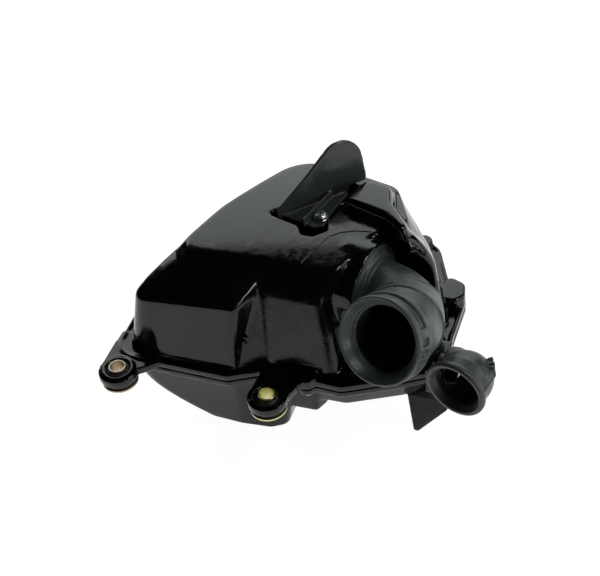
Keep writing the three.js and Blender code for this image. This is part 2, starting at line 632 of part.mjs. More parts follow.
const assembly = new THREE.Group();
assembly.add(
  piece('housing', makeHousing(), 'plastic'),
  piece('cover', makeCover(), 'plastic'),
  piece('cover_gasket', makeGasket(), 'rubber'),
  piece('filter_foam', makeFoam(), 'foam'),
  piece('filter_grid', makeGrid(), 'plastic'),
  piece('carburettor_boot', makeBoot(), 'rubber'),
  piece('boot_ring', makeBootRing(), 'steel'),
  piece('snorkel', makeSnorkel(), 'rubber'),
  piece('splash_guard', makeGuard(), 'plastic'),
  piece('guard_washer', makeGuardWasher(), 'steel'),
  piece('guard_screw', makeGuardScrew(), 'steel'),
  piece('lower_deflector', makeDeflector(), 'plastic'),
);
for (const [side, x, metal] of [['right', 0, 'zinc'], ['left', -LUG_SPACING, 'steel']]) {
  assembly.add(
    piece(`grommet_${side}`, makeGrommet(x), 'rubber'),
    piece(`bush_sleeve_${side}`, makeSleeve(x), metal),
    piece(`bush_washer_${side}`, makeBushWasher(x), metal),
  );
}
COVER_SCREWS.forEach((place, i) => {
  assembly.add(piece(`cover_screw_${i + 1}`, coverScrew(place), 'steel'));
});
DEFLECTOR_SCREWS.forEach((place, i) => {
  assembly.add(piece(`deflector_screw_${i + 1}`, deflectorScrew(place), 'steel'));
});

// The origin moves to the middle of the underside.
const extent = new THREE.Box3().setFromObject(assembly);
const middle = extent.getCenter(new THREE.Vector3());
assembly.position.set(-middle.x, -middle.y, -extent.min.z);

export default new THREE.Group().add(assembly);
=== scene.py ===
"""Air filter housing of a small scooter engine, finished over its CAD frame.

Shapes are laid out in millimetres from the centre of the right lug's hole on the flange's top
face, with +X to the right, +Y to the back and +Z up, and then moved into the frame in metres.
"""

import math

import bmesh
import bpy
from mathutils import Matrix, Vector, noise
from mathutils.bvhtree import BVHTree
from mathutils.geometry import tessellate_polygon


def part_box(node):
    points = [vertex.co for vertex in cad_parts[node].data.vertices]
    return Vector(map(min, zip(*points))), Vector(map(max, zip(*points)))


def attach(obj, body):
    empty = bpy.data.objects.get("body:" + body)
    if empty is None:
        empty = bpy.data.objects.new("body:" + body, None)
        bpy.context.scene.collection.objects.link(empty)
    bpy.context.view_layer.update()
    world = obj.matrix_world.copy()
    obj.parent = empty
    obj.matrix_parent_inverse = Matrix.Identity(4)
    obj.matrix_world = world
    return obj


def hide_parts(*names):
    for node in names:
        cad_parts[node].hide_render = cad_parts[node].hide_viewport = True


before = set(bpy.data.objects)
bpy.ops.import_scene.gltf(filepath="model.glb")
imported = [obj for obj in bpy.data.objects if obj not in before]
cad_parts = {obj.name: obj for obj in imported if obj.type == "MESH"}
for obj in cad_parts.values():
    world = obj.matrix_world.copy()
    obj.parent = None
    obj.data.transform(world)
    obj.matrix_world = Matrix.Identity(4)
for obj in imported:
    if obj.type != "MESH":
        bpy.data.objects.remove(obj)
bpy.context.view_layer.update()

# ---------------------------------------------------------------- driving dimensions

WALL = 2.5
RECESS_WALL = 6
GAP = 0.3
ARC_STEPS = 9
LUG_SPACING = 92
LUG_THICK = 5
LUG_RADIUS = 11.5
SLEEVE_TOP = 2.3
FLANGE_THICK = 4
RIM_TOP = -FLANGE_THICK - GAP
RIM_LOW = RIM_TOP - 4
SEAT_DEPTH = 1.5
SHOULDER_Z = 40
CREST_Z = 60
DUCT_Z = 68.5
COVER_FLOOR_Z = -46
BOWL_WAIST_Z = -25
SIDE_FLOOR_Z = -26
SUMP_FLOOR_Z = -32.5
POCKET_FLOOR_Z = 47
GUARD_FOOT_Z = 56
SCREW_BOSS = 6
SCREW_HOLE = 2.2
FIN_THICK = 2
WASHER_THICK = 0.8
EAR_TOP = 7
SNORKEL_WALL_X = 93
SNORKEL_WALL_Y = 27
SNORKEL_WALL_TOP = 13.5
SOFT_PASSES = 48
DOME_DROP = 2.2
UP = Vector((0, 0, 1))
OUT = Vector((1, 0, 0))

PORT = Vector((46.5, 66, 33))
PORT_AXIS = Vector((math.cos(0.227), -math.sin(0.227), 0))
PORT_RADIUS = 21.5
MOUTH = Vector((64, 12, 45))
MOUTH_AXIS = Vector((-0.24, -0.87, 0.43)).normalized()
MOUTH_RADIUS = 25
BOOT_RADIUS = 22.5
BOOT_BORE = 19.5
BOOT_ROOM = 3

SNORKEL_MOUTH = Vector((103, 16, 13))
SNORKEL_AXIS = Vector((-0.29, -0.957, 0)).normalized()
SNORKEL_BEND = Vector((106.5, 27.5, 12))
SNORKEL_PORT = Vector((93, 38, 6))
SNORKEL_NECK = 8.5

GUARD_LENGTH = 58
GUARD_HEIGHT = 30
GUARD_CURL = 0.004
DEFLECTOR_LEAN = -0.45
DEFLECTOR_SCREWS = [(71, 50.5), (82, 50.5)]
GUARD_START = Vector((-18, 85, CREST_Z + 1))
GUARD_SCREW = Vector((8, 88, GUARD_FOOT_Z + FIN_THICK + GAP))

# Plan corners, counter-clockwise from the front left: (x, y, corner radius).
FLANGE = [
    (-100, 11, 14), (-28, 8.5, 8), (-8, 18.5, 8), (38, 15.5, 12), (70, 31, 20), (89, 42, 10),
    (88, 98, 8), (74, 114, 8), (60, 144, 14), (-54, 155, 36), (-101, 44, 18),
]
TOWER_BASE = [
    (-97, 15, 12), (-26, 14, 6), (-8, 23.5, 6), (33, 22.5, 8), (45, 66, 4),
    (84, 75, 6), (71, 109, 10), (52, 143, 12), (-52, 151, 32), (-75.5, 88, 60),
]
TOWER_SHOULDER = [
    (-87, 18, 8), (-23, 22, 5), (-13, 38.5, 5), (25, 36.5, 7), (38, 78, 4),
    (80, 77, 6), (68, 98, 10), (44, 129, 12), (-40, 147, 28), (-67.5, 84, 60),
]
TOWER_TOP = [
    (-66, 48, 10), (-25, 48.5, 4), (-13, 48.5, 4), (31, 47, 8), (41, 79, 4),
    (75, 78, 4), (61, 87, 6), (43, 124, 10), (-19, 141, 24), (-50.5, 87, 60),
]
EAR = [(72, 91, 4), (84, 90, 5), (88.5, 96, 5), (86, 107, 5), (74, 112, 4)]
TRAY = [(34, 22, 4), (68, 38, 10), (84, 47, 6), (84, 70, 4), (40, 70, 4)]
DUCT_FOOT = [
    (18, 93, 3), (44, 85, 4), (54, 79, 3), (66, 73, 3),
    (66, 84, 3), (50, 104, 6), (44, 123, 5), (26, 124, 8),
]
DUCT_ROOF = [
    (20, 96, 3), (45.5, 88, 4), (55, 81.5, 3), (61, 76, 2),
    (60, 84, 3), (47, 100, 6), (42, 114, 4), (27, 118, 6),
]
POCKET = [
    (-23, 84, 2), (-2, 78, 4), (2, 71, 3), (9, 70.5, 4), (15.5, 77, 3),
    (13, 86, 3), (16, 97, 3), (21.5, 119, 2), (16, 121, 2),
]
BOWL_RIM = [(-94, 14, 12), (-26, 12.5, 8), (-8, 19, 6), (6, 20, 6), (6, 148, 6), (-50, 148, 34)]
BOWL_WAIST = [(-90, 15, 12), (-26, 13.5, 8), (-8, 18, 6), (4, 19, 6), (4, 142, 8), (-46, 142, 32)]
BOWL_FLOOR = [(-54, 15, 10), (-26, 13, 8), (-8, 14, 6), (1, 19, 6), (1, 118, 10), (-36, 118, 20)]
SIDE_RIM = [
    (0, 23, 2), (38, 23, 10), (68, 36, 16), (84, 45, 8),
    (80, 88, 8), (66, 108, 8), (46, 138, 12), (0, 145, 2),
]
SIDE_FLOOR = [
    (0, 26, 2), (36, 26, 10), (66, 40, 16), (80, 48, 8),
    (76, 86, 8), (62, 105, 8), (44, 132, 12), (0, 139, 2),
]
SUMP = [(0, 22.8, 3), (19, 22.8, 3), (22.5, 31, 3), (22.5, 52, 3), (0, 52, 3)]
FOAM = [(-84, 25, 8), (-30, 24, 4), (-8, 33, 4), (24, 33, 6), (34, 68, 4), (34, 134, 6), (-42, 134, 26)]
COVER_SCREWS = [(-93, 62), (-71, 108), (-38, 150), (12, 150), (50, 143), (79, 101), (17, 18.5)]

# ---------------------------------------------------------------- shapes in millimetres


def mesh_of(points, faces):
    """A closed mesh, with its faces turned outwards."""
    mesh = bpy.data.meshes.new("shape")
    mesh.from_pydata([tuple(p) for p in points], [], faces)
    work = bmesh.new()
    work.from_mesh(mesh)
    bmesh.ops.remove_doubles(work, verts=work.verts, dist=1e-4)
    bmesh.ops.recalc_face_normals(work, faces=work.faces)
    work.to_mesh(mesh)
    work.free()
    return mesh


def rounded(corners):
    """The outline with each corner rounded by an arc of its own radius."""
    points = []
    for i, (x, y, radius) in enumerate(corners):
        here = Vector((x, y))
        before = Vector(corners[i - 1][:2])
        after = Vector(corners[(i + 1) % len(corners)][:2])
        back, ahead = (before - here).normalized(), (after - here).normalized()
        half = back.angle(ahead) / 2
        centre = here + (back + ahead).normalized() * radius / math.sin(half)
        start = here + back * radius / math.tan(half) - centre
        turn = math.copysign(math.pi - 2 * half, ahead.x * back.y - ahead.y * back.x)
        for step in range(ARC_STEPS + 1):
            points.append(Matrix.Rotation(turn * step / ARC_STEPS, 2) @ start + centre)
    return points


def inset(corners, distance):
    """Corners moved inwards by a distance, measured square to each side."""
    moved = []
    for i, (x, y, radius) in enumerate(corners):
        before, after = corners[i - 1], corners[(i + 1) % len(corners)]
        come = Vector((x - before[0], y - before[1])).normalized()
        go = Vector((after[0] - x, after[1] - y)).normalized()
        middle = Vector((-come.y - go.y, come.x + go.x))
        shift = middle * 2 * distance / middle.length_squared
        convex = come.x * go.y - come.y * go.x > 0
        moved.append((x + shift.x, y + shift.y, max(radius - distance if convex else radius + distance, 1)))
    return moved


def between(start, end, share):
    """Corners part of the way from one outline to another."""
    return [tuple(a + (b - a) * share for a, b in zip(p, q)) for p, q in zip(start, end)]


def loft(*levels):
    """A solid through outlines stacked in height: levels are (z, corners), from the bottom up."""
    rings = [[Vector((p.x, p.y, z)) for p in rounded(corners)] for z, corners in levels]
    count = len(rings[0])
    faces = []
    for level in range(len(rings) - 1):
        for i in range(count):
            a, b = level * count + i, level * count + (i + 1) % count
            faces.append((a, b, b + count, a + count))
    last = (len(rings) - 1) * count
    faces += [tuple(reversed(face)) for face in tessellate_polygon([rings[0]])]
    faces += [tuple(last + i for i in face) for face in tessellate_polygon([rings[-1]])]
    return mesh_of([p for ring in rings for p in ring], faces)


def plate(corners, low, high):
    return loft((low, corners), (high, corners))


def turned(profile, origin, axis, sides=96):
    """A solid of revolution: profile points are (radius, distance along the axis)."""
    turn = UP.rotation_difference(axis)
    points, faces, count = [], [], len(profile)
    for side in range(sides):
        angle = 2 * math.pi * side / sides
        for radius, along in profile:
            points.append(origin + turn @ Vector((radius * math.cos(angle), radius * math.sin(angle), along)))
    for side in range(sides):
        a, b = side * count, (side + 1) % sides * count
        faces += [(a + i, b + i, b + i + 1, a + i + 1) for i in range(count - 1)]
    return mesh_of(points, faces)


def rod(radius, origin, axis, start, end, sides=96):
    return turned([(0, start), (radius, start), (radius, end), (0, end)], origin, axis, sides)


def post(radius, x, y, low, high, sides=64):
    return rod(radius, Vector((x, y, 0)), UP, low, high, sides)


def swept(path, radii, sides=72):
    """A round solid along a list of points, with flat ends and a radius for each point."""
    points, faces = [], []
    turn = UP.rotation_difference(path[1] - path[0])
    ahead = path[1] - path[0]
    for i, here in enumerate(path):
        along = path[min(i + 1, len(path) - 1)] - path[max(i - 1, 0)]
        turn = ahead.rotation_difference(along) @ turn
        ahead = along
        for side in range(sides):
            angle = 2 * math.pi * side / sides
            points.append(here + turn @ Vector((radii[i] * math.cos(angle), radii[i] * math.sin(angle), 0)))
    for ring in range(len(path) - 1):
        for side in range(sides):
            a, b = ring * sides + side, ring * sides + (side + 1) % sides
            faces.append((a, b, b + sides, a + sides))
    last = (len(path) - 1) * sides
    faces += [tuple(reversed(range(sides))), tuple(range(last, last + sides))]
    return mesh_of(points, faces)


def block(size, centre, turn=0):
    """A box turned about Z."""
    x, y, z = (s / 2 for s in size)
    corners = [Vector((i * x, j * y, k * z)) for i in (-1, 1) for j in (-1, 1) for k in (-1, 1)]
    spin = Matrix.Rotation(turn, 3, "Z")
    faces = [(0, 1, 3, 2), (4, 6, 7, 5), (0, 4, 5, 1), (2, 3, 7, 6), (0, 2, 6, 4), (1, 5, 7, 3)]
    return mesh_of([spin @ c + Vector(centre) for c in corners], faces)


def span(x0, x1, y0, y1, z0, z1):
    return block((x1 - x0, y1 - y0, z1 - z0), ((x0 + x1) / 2, (y0 + y1) / 2, (z0 + z1) / 2))


def bezier(a, b, c, d, count):
    """Points along a cubic curve."""
    points = []
    for i in range(count + 1):
        t = i / count
        points.append(a * (1 - t) ** 3 + b * 3 * t * (1 - t) ** 2 + c * 3 * t * t * (1 - t) + d * t ** 3)
    return points


def baked(thing):
    """The object's mesh with its modifiers applied."""
    graph = bpy.context.evaluated_depsgraph_get()
    return bpy.data.meshes.new_from_object(thing.evaluated_get(graph))


def boolean(operation, mesh, tools):
    """The mesh joined with, cut by or kept within each tool in turn."""
    things = [bpy.data.objects.new("shape", m) for m in (mesh, *tools)]
    for thing in things:
        bpy.context.scene.collection.objects.link(thing)
    for tool in things[1:]:
        step = things[0].modifiers.new("step", "BOOLEAN")
        step.operation, step.solver, step.object = operation, "MANIFOLD", tool
    result = baked(things[0])
    for thing in things:
        bpy.data.objects.remove(thing)
    return result


def union(mesh, *tools):
    return boolean("UNION", mesh, tools)


def cut(mesh, *tools):
    return boolean("DIFFERENCE", mesh, tools)


def within(mesh, *tools):
    return boolean("INTERSECT", mesh, tools)


def softened(mesh, voxel, passes, softness=None):
    """The mesh evened out and its edges rounded, as a moulding's are.

    The softness of a place, from 0 to 1, tells how much further its edges are rounded.
    """
    thing = bpy.data.objects.new("shape", mesh)
    bpy.context.scene.collection.objects.link(thing)
    even = thing.modifiers.new("even", "REMESH")
    even.mode, even.voxel_size, even.use_smooth_shade = "VOXEL", voxel, True
    relax = thing.modifiers.new("relax", "SMOOTH")
    relax.factor, relax.iterations = 0.5, passes
    result = baked(thing)
    if softness:
        thing.modifiers.clear()
        thing.data = result
        group = thing.vertex_groups.new(name="soft")
        for vertex in result.vertices:
            group.add([vertex.index], softness(vertex.co), "REPLACE")
        more = thing.modifiers.new("more", "SMOOTH")
        more.factor, more.iterations, more.vertex_group = 0.5, SOFT_PASSES, "soft"
        result = baked(thing)
    bpy.data.objects.remove(thing)
    return result


# ---------------------------------------------------------------- pieces

LOWEST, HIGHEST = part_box("bush_sleeve_right")
ORIGIN = Vector(((LOWEST.x + HIGHEST.x) / 2, (LOWEST.y + HIGHEST.y) / 2, HIGHEST.z - SLEEVE_TOP / 1000))
TO_FRAME = Matrix.Translation(ORIGIN) @ Matrix.Scale(0.001, 4)


def dress(node, mesh, material, body, crisp=None):
    """A finished piece in place of a CAD node. A crisp angle keeps sharper edges than it unsmoothed."""
    mesh.transform(TO_FRAME)
    mesh.materials.clear()
    mesh.materials.append(material)
    piece = bpy.data.objects.new(f"finished_{node}", mesh)
    bpy.context.scene.collection.objects.link(piece)
    mesh.shade_smooth()
    if crisp:
        mesh.set_sharp_from_angle(angle=math.radians(crisp))
    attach(piece, body)
    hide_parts(node)
    return piece


def extra(name, mesh, material, body):
    """A detail that no CAD node stands for."""
    mesh.transform(TO_FRAME)
    mesh.materials.append(material)
    mesh.shade_smooth()
    piece = bpy.data.objects.new(name, mesh)
    bpy.context.scene.collection.objects.link(piece)
    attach(piece, body)
    return piece


# ---------------------------------------------------------------- materials


class Finish:
    """A procedural material: noise layers drive a Principled shader's colour, roughness and bump."""

    def __init__(self, name, **settings):
        self.material = bpy.data.materials.new(name)
        self.material.use_nodes = True
        self.nodes = self.material.node_tree.nodes
        self.links = self.material.node_tree.links
        self.shader = self.nodes["Principled BSDF"]
        self.place = self.nodes.new("ShaderNodeTexCoord").outputs["Object"]
        for socket, value in settings.items():
            self.shader.inputs[socket.replace("_", " ")].default_value = value

    def noise(self, scale, detail=4.0, distortion=0.0):
        node = self.nodes.new("ShaderNodeTexNoise")
        node.inputs["Scale"].default_value = scale
        node.inputs["Detail"].default_value = detail
        node.inputs["Distortion"].default_value = distortion
        self.links.new(self.place, node.inputs["Vector"])
        return node.outputs["Fac"]

    def cells(self, scale, feature="F1"):
        node = self.nodes.new("ShaderNodeTexVoronoi")
        node.feature = feature
        node.inputs["Scale"].default_value = scale
        self.links.new(self.place, node.inputs["Vector"])
        return node.outputs["Distance"]

    def ramp(self, source, stops):
        node = self.nodes.new("ShaderNodeValToRGB")
        while len(node.color_ramp.elements) < len(stops):
            node.color_ramp.elements.new(0.5)
        for element, (place, value) in zip(node.color_ramp.elements, stops):
            element.position = place
            element.color = (*value, 1) if isinstance(value, tuple) else (value, value, value, 1)
        self.links.new(source, node.inputs["Fac"])
        return node.outputs["Color"]

    def mix(self, share, first, second, blend="MIX"):
        node = self.nodes.new("ShaderNodeMix")
        node.data_type, node.blend_type = "RGBA", blend
        for index, source in ((0, share), (6, first), (7, second)):
            if isinstance(source, bpy.types.NodeSocket):
                self.links.new(source, node.inputs[index])
            else:
                node.inputs[index].default_value = source
        return node.outputs[2]

    def bump(self, *layers):
        """Each layer is (height source, strength, distance in metres)."""
        normal = None
        for height, strength, distance in layers:
            node = self.nodes.new("ShaderNodeBump")
            node.inputs["Strength"].default_value = strength
            node.inputs["Distance"].default_value = distance
            self.links.new(height, node.inputs["Height"])
            if normal:
                self.links.new(normal, node.inputs["Normal"])
            normal = node.outputs["Normal"]
        self.links.new(normal, self.shader.inputs["Normal"])

    def drive(self, socket, source):
        self.links.new(source, self.shader.inputs[socket])
        return self


def glossy_plastic(name, tint, low_rough, high_rough):
    """Black moulding with faint flow marks, handling scuffs and specks of dust."""
    finish = Finish(name, Specular_IOR_Level=0.36, IOR=1.5)
    flow = finish.noise(22, 3, 0.6)
    scuffs = finish.noise(160, 6, 1.5)
    dust = finish.ramp(finish.noise(900, 2), [(0.7, 0.0), (0.8, 0.12)])
    body = finish.ramp(flow, [(0.3, tint), (0.7, tuple(c * 1.6 for c in tint))])
    finish.drive("Base Color", finish.mix(dust, body, (0.05, 0.055, 0.053, 1)))
    finish.drive("Roughness", finish.ramp(scuffs, [(0.35, low_rough), (0.7, high_rough)]))
    finish.bump((flow, 0.14, 0.0005), (finish.noise(380, 3), 0.04, 0.0002))
    return finish.material


def aged_rubber(name, tint, bloom, rough):
    """Moulded rubber: fine skin texture, chalky bloom in patches and along its edges."""
    finish = Finish(name, Specular_IOR_Level=0.5, Sheen_Weight=0.08, Sheen_Roughness=0.4)
    patches = finish.ramp(finish.noise(45, 7, 0.8), [(0.45, 0.0), (0.72, 0.8)])
    edge = finish.nodes.new("ShaderNodeNewGeometry").outputs["Pointiness"]
    worn = finish.ramp(edge, [(0.51, 0.0), (0.56, 1.0)])
    speckle = finish.ramp(finish.noise(220, 5), [(0.4, 0.15), (0.65, 1.0)])
    chalk = finish.mix(speckle, patches, worn, "LIGHTEN")
    base = finish.ramp(finish.noise(90, 5), [(0.3, tint), (0.75, tuple(c * 1.5 for c in tint))])
    share = finish.ramp(chalk, [(0.0, 0.0), (1.0, 0.3)])
    finish.drive("Base Color", finish.mix(share, base, (*bloom, 1)))
    finish.drive("Roughness", finish.ramp(finish.noise(120, 4), [(0.3, rough), (0.7, rough + 0.2)]))
    finish.bump((finish.noise(60, 5), 0.3, 0.0008), (finish.noise(1500, 3), 0.2, 0.0002))
    return finish.material


def plated_steel(name, tint, stain, rough):
    """Plated steel with a mottled passivated film and fine scratches."""
    finish = Finish(name, Metallic=1.0)
    mottle = finish.ramp(finish.noise(260, 6, 1.0), [(0.35, tint), (0.7, stain)])
    finish.drive("Base Color", mottle)
    finish.drive("Roughness", finish.ramp(finish.noise(700, 5), [(0.3, rough), (0.7, rough + 0.22)]))
    finish.bump((finish.noise(1800, 4, 2.0), 0.15, 0.0001))
    return finish.material


def oiled_foam(name):
    """Open-cell filter foam, red, darker where the oil gathers, with painted shade in the pits of its pores.
    """
    finish = Finish(name, Roughness=0.85, Sheen_Weight=0.3)
    pores = finish.cells(900)
    # painted shade: the colour is darkest in the pits of the pores and lighter red on the cell walls
    pore_shade = finish.ramp(pores, [(0.1, (0.1, 0.012, 0.006)), (0.5, (0.5, 0.07, 0.03))])
    oil = finish.ramp(finish.noise(40, 5), [(0.4, 0.0), (0.7, 0.7)])
    finish.drive("Base Color", finish.mix(oil, pore_shade, (0.16, 0.03, 0.015, 1)))
    finish.bump((pores, 0.9, 0.0012), (finish.noise(120, 4), 0.3, 0.0015))
    return finish.material


HOUSING_PLASTIC = glossy_plastic("black_housing_plastic", (0.0012, 0.0016, 0.0014), 0.08, 0.2)
COVER_PLASTIC = glossy_plastic("black_cover_plastic", (0.0015, 0.002, 0.0017), 0.1, 0.24)
GUARD_PLASTIC = glossy_plastic("black_guard_plastic", (0.03, 0.034, 0.031), 0.14, 0.28)
GRID_PLASTIC = glossy_plastic("black_grid_plastic", (0.02, 0.02, 0.021), 0.35, 0.5)
BOOT_RUBBER = aged_rubber("boot_rubber", (0.02, 0.027, 0.023), (0.2, 0.24, 0.22), 0.36)
SNORKEL_RUBBER = aged_rubber("snorkel_rubber", (0.010, 0.013, 0.012), (0.1, 0.12, 0.11), 0.33)
GROMMET_RUBBER = aged_rubber("grommet_rubber", (0.006, 0.007, 0.0065), (0.04, 0.045, 0.042), 0.42)
SEAL_RUBBER = aged_rubber("seal_rubber", (0.01, 0.01, 0.01), (0.05, 0.05, 0.05), 0.6)
BRIGHT_STEEL = plated_steel("bright_steel", (0.75, 0.75, 0.72), (0.55, 0.55, 0.52), 0.2)
PLAIN_STEEL = plated_steel("plain_steel", (0.5, 0.5, 0.48), (0.3, 0.3, 0.28), 0.3)
YELLOW_ZINC = plated_steel("yellow_zinc", (0.72, 0.66, 0.3), (0.5, 0.52, 0.3), 0.25)
TAN_ZINC = plated_steel("tan_zinc", (0.6, 0.48, 0.36), (0.4, 0.33, 0.27), 0.3)
FOAM_FINISH = oiled_foam("filter_foam")

# ---------------------------------------------------------------- housing


def tower(thickness):
    """The tower with its walls moved in, and its roof lowered, by a wall thickness."""
    levels = [(-FLANGE_THICK - 1 if thickness else 0, inset(TOWER_BASE, thickness))]
    for share, rise in ((0, 0), (0.45, 0.5), (0.72, 0.77), (0.88, 0.91), (0.96, 0.98), (1, 1)):
        z = SHOULDER_Z + (CREST_Z - SHOULDER_Z) * rise - thickness * (0.5 + rise / 2)
        levels.append((z, inset(between(TOWER_SHOULDER, TOWER_TOP, share), thickness)))
    return loft(*levels)


def domed(mesh):
    """The roof's outer parts lowered a little, so that it is a shallow dome."""
    for vertex in mesh.vertices:
        x, y, z = vertex.co
        away = ((x + 2) / 74) ** 2 + ((y - 92) / 46) ** 2
        share = min(max((z - 44) / 12, 0), 1)
        vertex.co.z -= DOME_DROP * share * min(away, 1.5)
    return mesh


def pocket(thickness):
    return plate(inset(POCKET, -thickness), POCKET_FLOOR_Z - thickness, CREST_Z + 8)


def lug(x, roots):
    """A mounting lug with a rounded rim round its hole, on an arm that grows from the flange."""
    side = LUG_RADIUS - 0.4
    arm = [(x - side, 2, 2), (x + side, 2, 2), *roots]
    ring = [(6.5, -0.6), (9.6, -0.6), (9.6, 0.4), (8.8, 0.9), (7.6, 0.9), (6.5, 0.2), (6.5, -0.6)]
    return union(
        post(LUG_RADIUS, x, 0, -LUG_THICK, 0),
        plate(arm, -LUG_THICK, 0),
        turned(ring, Vector((x, 0, 0)), UP),
    )


BOOT_PATH = bezier(
    PORT - PORT_AXIS, PORT + PORT_AXIS * 26, MOUTH - MOUTH_AXIS * 30, MOUTH - MOUTH_AXIS * 8, 28,
)


def boot_space(margin):
    """The space that the boot needs beside the tower."""
    collar = rod(27.5 + margin, PORT, PORT_AXIS, -6 - (margin - BOOT_ROOM), 13)
    return union(collar, swept(BOOT_PATH, [BOOT_RADIUS + margin] * len(BOOT_PATH)))


SOFT_SPOTS = [(Vector((30, 46, 54)), 30), (Vector((60, 90, 60)), 20), (Vector((78, 80, 30)), 26)]


def housing_softness(place):
    """Most at the hood and the far corner, some over the upper part, little beside the pocket."""
    upper = 0.6 * min(max((place.z - 26) / 12, 0), 1)
    beside = min(max((math.hypot(place.x - 4, (place.y - 92) * 0.7) - 20) / 12, 0.15), 1)
    spot = max(1 - (place - centre).length / radius for centre, radius in SOFT_SPOTS)
    return max(upper * beside, min(1, 1.6 * spot), 0)


def make_housing():
    rim = inset(FLANGE, 1.4)
    shell = union(
        tower(0),
        plate(FLANGE, -FLANGE_THICK, -0.4),
        cut(plate(FLANGE, -1, 0.7), plate(rim, -2, 2)),
        loft((-1, TRAY), (2.5, inset(TRAY, 1))),
        loft((CREST_Z - 6, DUCT_FOOT), (DUCT_Z - 1.5, DUCT_ROOF), (DUCT_Z, inset(DUCT_ROOF, 1.5))),
        loft((-FLANGE_THICK, EAR), (EAR_TOP - 1, EAR), (EAR_TOP, inset(EAR, 1))),
        span(SNORKEL_WALL_X - 9, SNORKEL_WALL_X, SNORKEL_WALL_Y, 52, -FLANGE_THICK, SNORKEL_WALL_TOP),
        rod(27.5, PORT, PORT_AXIS, -18, -6),
        lug(0, [(17, 20, 2), (-10, 20, 2)]),
        lug(-LUG_SPACING, [(-66, 14, 2), (-80, 28, 2), (-102.6, 30, 2)]),
        *(post(SCREW_BOSS, x, y, -FLANGE_THICK, 2.5) for x, y in COVER_SCREWS),
    )
    below = plate(inset(FLANGE, -GAP), -LUG_THICK - 1, -FLANGE_THICK)
    chamber = cut(tower(WALL), boot_space(BOOT_ROOM + RECESS_WALL), pocket(WALL))
    hollow = cut(shell, boot_space(BOOT_ROOM), pocket(0), below)
    socket = [(25.1, -7), (27.4, -7), (27.4, -1.6), (26.8, -0.8), (25.7, -0.8), (25.1, -1.6), (25.1, -7)]
    hollow = union(
        hollow,
        post(5.5, GUARD_SCREW.x, GUARD_SCREW.y, POCKET_FLOOR_Z - 1, GUARD_FOOT_Z - GAP),
        turned(socket, PORT, PORT_AXIS),
    )
    hollow = cut(
        hollow,
        chamber,
        rod(PORT_RADIUS, PORT, PORT_AXIS, -30, 0),
        rod(SNORKEL_NECK + GAP, SNORKEL_PORT, OUT, -6, 5),
        *(post(7, x, 0, -9, 9) for x in (0, -LUG_SPACING)),
        *(post(SCREW_HOLE, x, y, -9, 1.9, 24) for x, y in COVER_SCREWS),
    )
    return domed(softened(hollow, 0.75, 4, housing_softness))


def lying_on(mesh, corners, radius):
    """A fine raised line on top of the mesh, along plan corners."""
    tree = BVHTree.FromPolygons([v.co for v in mesh.vertices], [f.vertices for f in mesh.polygons])
    path = []
    for (x0, y0), (x1, y1) in zip(corners, corners[1:]):
        steps = max(2, round(math.hypot(x1 - x0, y1 - y0) / 1.5))
        for i in range(steps):
            above = Vector((x0 + (x1 - x0) * i / steps, y0 + (y1 - y0) * i / steps, 90))
            path.append(tree.ray_cast(above, -UP)[0])
    return swept(path, [radius] * len(path), 12)


housing_mesh = make_housing()
witness = lying_on(housing_mesh, [(9, 48), (18, 72), (24, 77), (31.5, 80), (42, 81.5)], 0.35)
dress("housing", housing_mesh, HOUSING_PLASTIC, "housing_body")
extra("mould_line", witness, COVER_PLASTIC, "housing_body")

# ---------------------------------------------------------------- cover


def bowl_levels(top):
    """Outlines of the bowl from its floor up: its side is one smooth curve through the waist."""
    levels = [(COVER_FLOOR_Z, inset(BOWL_FLOOR, 5)), (COVER_FLOOR_Z + 1, inset(BOWL_FLOOR, 2.2))]
    for step in range(9):
        t = step / 8
        low, high = between(BOWL_FLOOR, BOWL_WAIST, 2 * t), between(BOWL_WAIST, BOWL_RIM, 2 * t - 1)
        low_z = COVER_FLOOR_Z + 3 + (BOWL_WAIST_Z - COVER_FLOOR_Z - 3) * 2 * t
        high_z = BOWL_WAIST_Z + (top - BOWL_WAIST_Z) * (2 * t - 1)
        levels.append((low_z + (high_z - low_z) * t, between(low, high, t)))
    return levels


def make_cover():
    outside = union(
        plate(FLANGE, RIM_LOW, RIM_TOP),
        plate(EAR, RIM_LOW, RIM_TOP),
        loft(*bowl_levels(RIM_LOW + 0.5)),
        loft((SIDE_FLOOR_Z, inset(SIDE_FLOOR, 2)), (SIDE_FLOOR_Z + 2, SIDE_FLOOR), (RIM_LOW + 0.5, SIDE_RIM)),
        loft((SUMP_FLOOR_Z, inset(SUMP, 1.5)), (SUMP_FLOOR_Z + 1.5, SUMP), (RIM_LOW, SUMP)),
        *(post(SCREW_BOSS, x, y, RIM_LOW, RIM_TOP) for x, y in COVER_SCREWS),
    )
    inside = union(
        loft(
            (COVER_FLOOR_Z + WALL, inset(BOWL_FLOOR, 4)),
            (COVER_FLOOR_Z + 3 + WALL, inset(BOWL_FLOOR, WALL)),
            (BOWL_WAIST_Z + 1, inset(BOWL_WAIST, WALL + 0.5)),
            (RIM_TOP + 1, inset(BOWL_RIM, WALL + 1)),
        ),
        loft((SIDE_FLOOR_Z + WALL, inset(SIDE_FLOOR, WALL + 2)), (RIM_TOP + 1, inset(SIDE_RIM, WALL + 1))),
        plate(inset(SUMP, WALL), SUMP_FLOOR_Z + WALL, SIDE_FLOOR_Z + WALL + 1),
    )
    hollow = cut(
        outside,
        inside,
        plate(inset(FLANGE, 1.6), RIM_TOP - SEAT_DEPTH, RIM_TOP + 1),
        *(post(SCREW_HOLE, x, y, RIM_LOW - 3, 0, 24) for x, y in COVER_SCREWS),
    )
    return softened(hollow, 0.75, 3)


dress("cover", make_cover(), COVER_PLASTIC, "cover_body")

# ---------------------------------------------------------------- boot and snorkel


